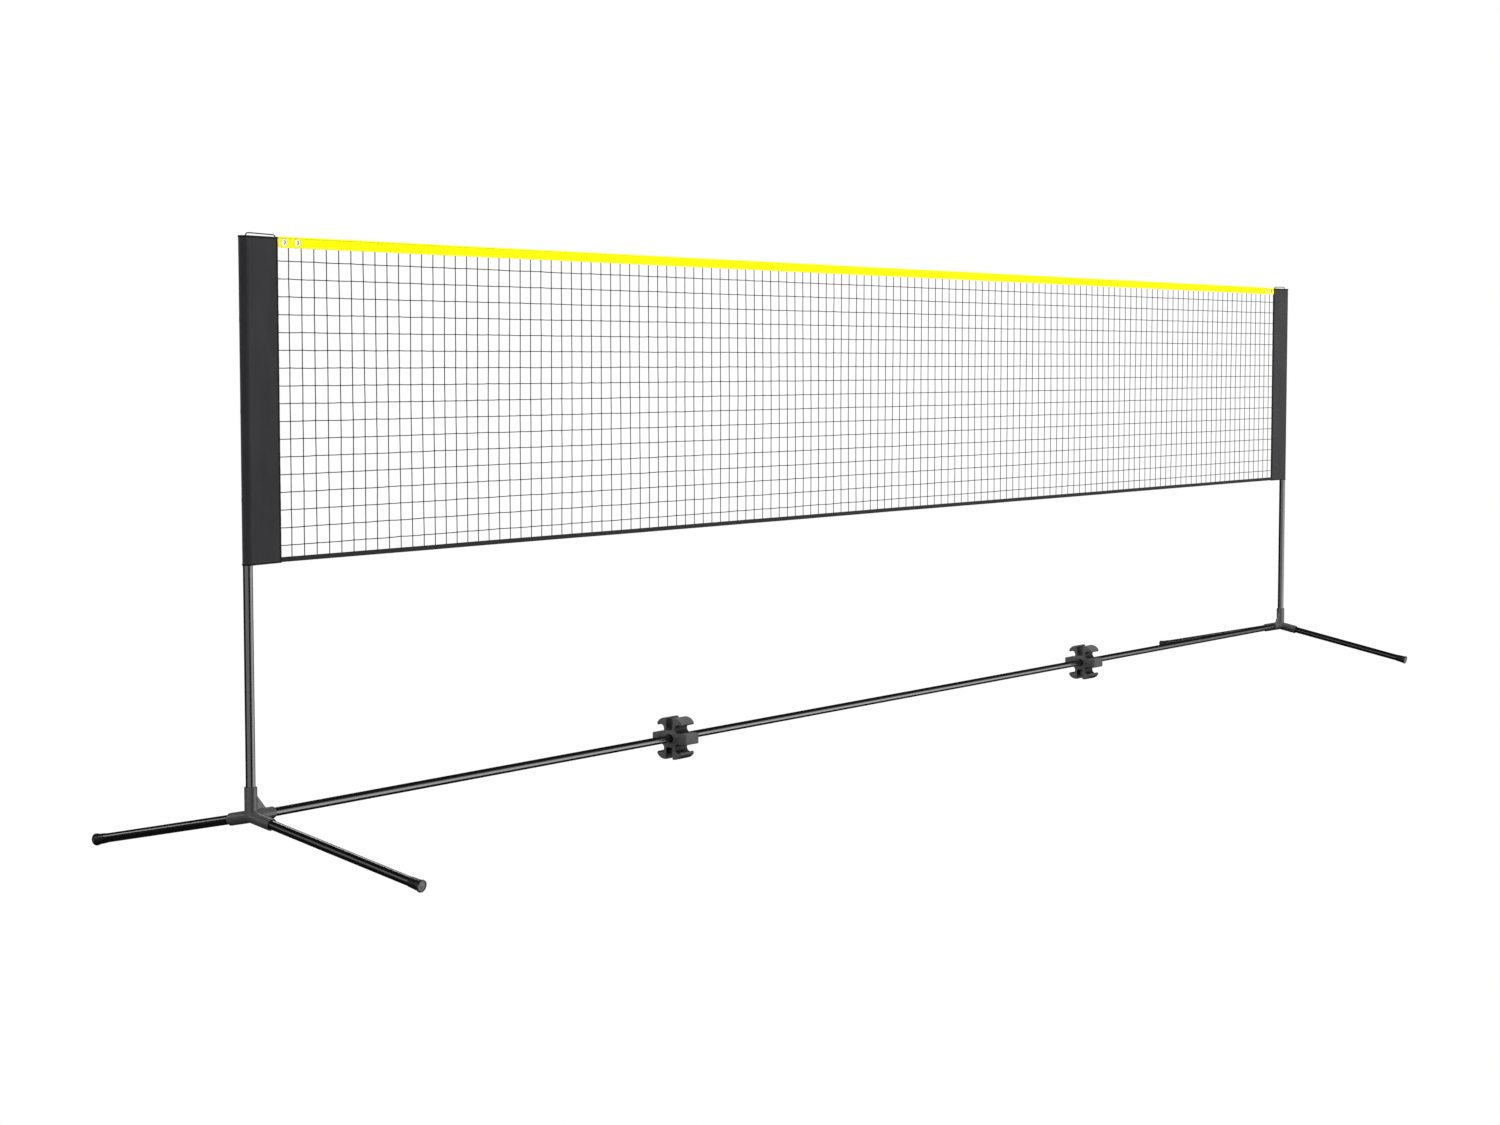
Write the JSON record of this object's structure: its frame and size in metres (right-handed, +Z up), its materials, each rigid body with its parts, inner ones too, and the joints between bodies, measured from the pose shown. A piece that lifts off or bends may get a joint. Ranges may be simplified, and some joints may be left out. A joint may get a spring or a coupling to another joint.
{
  "type": "portable badminton net",
  "caption": "Free-standing net on two telescopic posts with splayed feet, joined at the floor by a sectional bar that carries storage clips.",
  "frame": {"origin": "on the floor, midway between the two posts, in the net's plane", "axes": "+X along the net towards the right post, +Y behind the net, +Z up"},
  "size_m": [6.094, 1.1262, 1.5586],
  "materials": {
    "tube_black": "gloss",
    "connector_plastic": "satin",
    "slide_plastic": "satin",
    "clip_plastic": "satin",
    "cap_rubber": "matte",
    "sleeve_fabric": "matte",
    "tape_yellow": "matte",
    "band_black": "matte",
    "net_twine": "satin",
    "cord_black": "satin",
    "eyelet_metal": "polished"
  },
  "bodies": {
    "base_frame": {"left_base_connector": "connector_plastic", "right_base_connector": "connector_plastic", "left_lower_post_tube": "tube_black", "right_lower_post_tube": "tube_black", "left_guide_bush": "slide_plastic", "right_guide_bush": "slide_plastic", "bar_tube_1": "tube_black", "bar_tube_2": "tube_black", "bar_tube_3": "tube_black", "bar_tube_4": "tube_black", "bar_tube_5": "tube_black", "bar_tube_6": "tube_black", "bar_tube_7": "tube_black", "left_bar_coupler": "tube_black", "right_bar_coupler": "tube_black"},
    "left_front_foot": {"left_front_foot_tube": "tube_black", "left_front_foot_cap": "cap_rubber"},
    "left_rear_foot": {"left_rear_foot_tube": "tube_black", "left_rear_foot_cap": "cap_rubber"},
    "right_front_foot": {"right_front_foot_tube": "tube_black", "right_front_foot_cap": "cap_rubber"},
    "right_rear_foot": {"right_rear_foot_tube": "tube_black", "right_rear_foot_cap": "cap_rubber"},
    "left_clip": {"left_storage_clip": "clip_plastic"},
    "right_clip": {"right_storage_clip": "clip_plastic"},
    "net_and_upper_posts": {"left_upper_post_tube": "tube_black", "right_upper_post_tube": "tube_black", "left_slide_plug": "slide_plastic", "right_slide_plug": "slide_plastic", "left_post_cap": "slide_plastic", "right_post_cap": "slide_plastic", "left_pole_sleeve": "sleeve_fabric", "right_pole_sleeve": "sleeve_fabric", "top_tape": "tape_yellow", "head_cord": "cord_black", "bottom_band": "band_black", "net_upright_threads": "net_twine", "net_level_threads": "net_twine", "left_outer_eyelet": "eyelet_metal", "left_inner_eyelet": "eyelet_metal", "right_inner_eyelet": "eyelet_metal", "right_outer_eyelet": "eyelet_metal", "left_cord_end": "cord_black", "right_cord_end": "cord_black"}
  },
  "joints": [
    {"name": "height_slide", "type": "slide", "parent": "base_frame", "child": "net_and_upper_posts", "axis": [0, 0, 1], "range_m": [-0.5, 0]},
    {"name": "left_clip_swivel", "type": "hinge", "parent": "base_frame", "child": "left_clip", "pos_m": [-1.2775, 0, 0.128], "axis": [1, 0, 0], "continuous": true},
    {"name": "right_clip_swivel", "type": "hinge", "parent": "base_frame", "child": "right_clip", "pos_m": [1.2775, 0, 0.128], "axis": [1, 0, 0], "continuous": true},
    {"name": "left_front_foot_pull", "type": "slide", "parent": "base_frame", "child": "left_front_foot", "axis": [0, -0.9801, -0.1986], "range_m": [0, 0.047]},
    {"name": "left_rear_foot_pull", "type": "slide", "parent": "base_frame", "child": "left_rear_foot", "axis": [0, 0.9801, -0.1986], "range_m": [0, 0.047]},
    {"name": "right_front_foot_pull", "type": "slide", "parent": "base_frame", "child": "right_front_foot", "axis": [0, -0.9801, -0.1986], "range_m": [0, 0.047]},
    {"name": "right_rear_foot_pull", "type": "slide", "parent": "base_frame", "child": "right_rear_foot", "axis": [0, 0.9801, -0.1986], "range_m": [0, 0.047]}
  ]
}
